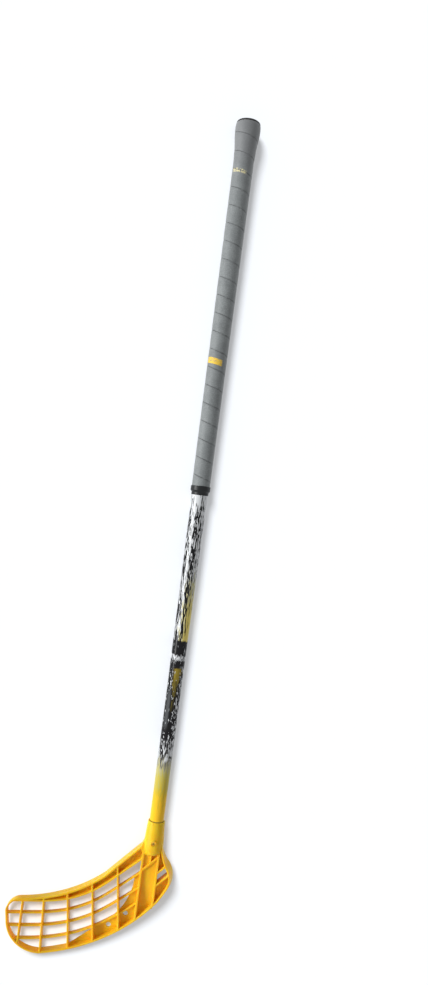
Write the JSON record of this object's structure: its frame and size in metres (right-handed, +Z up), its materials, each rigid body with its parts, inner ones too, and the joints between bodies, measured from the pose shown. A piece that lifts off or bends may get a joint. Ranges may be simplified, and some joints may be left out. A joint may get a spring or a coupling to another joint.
{
  "type": "floorball stick",
  "caption": "Floorball stick: a hooked lattice blade screwed to a tapered tubular shaft, with a wound soft grip, its closing band and a flared butt knob.",
  "frame": {"origin": "on the floor, under the middle of the stick's bounding box, with the stick lying at rest on its back", "axes": "+Y along the shaft towards the grip, -X towards the blade's toe, +Z up, the way the blade's hollow face looks"},
  "size_m": [0.2122, 1.1168, 0.0339],
  "materials": {
    "blade_plastic": "moulded, slight sheen",
    "shaft_lacquer": "clear lacquer over streaked paint",
    "grip_strip": "soft matte, tacky",
    "closing_tape": "slight sheen",
    "knob_plastic": "matte",
    "screw_steel": "yellow zinc plating"
  },
  "bodies": {
    "stick": {"blade": "blade_plastic", "shaft": "shaft_lacquer", "grip_tape": "grip_strip", "finishing_tape": "closing_tape", "end_knob": "knob_plastic"},
    "front_screw": {"blade_screw_front": "screw_steel"},
    "rear_screw": {"blade_screw_rear": "screw_steel"}
  },
  "joints": [
    {"name": "front_screw_turn", "type": "hinge", "parent": "stick", "child": "front_screw", "pos_m": [0.0744, -0.39982, 0.01497], "axis": [-0.16, -0.0023, 0.9871], "continuous": true},
    {"name": "rear_screw_turn", "type": "hinge", "parent": "stick", "child": "rear_screw", "pos_m": [0.0744, -0.38582, 0.015], "axis": [0.16, 0.0023, -0.9871], "continuous": true}
  ]
}
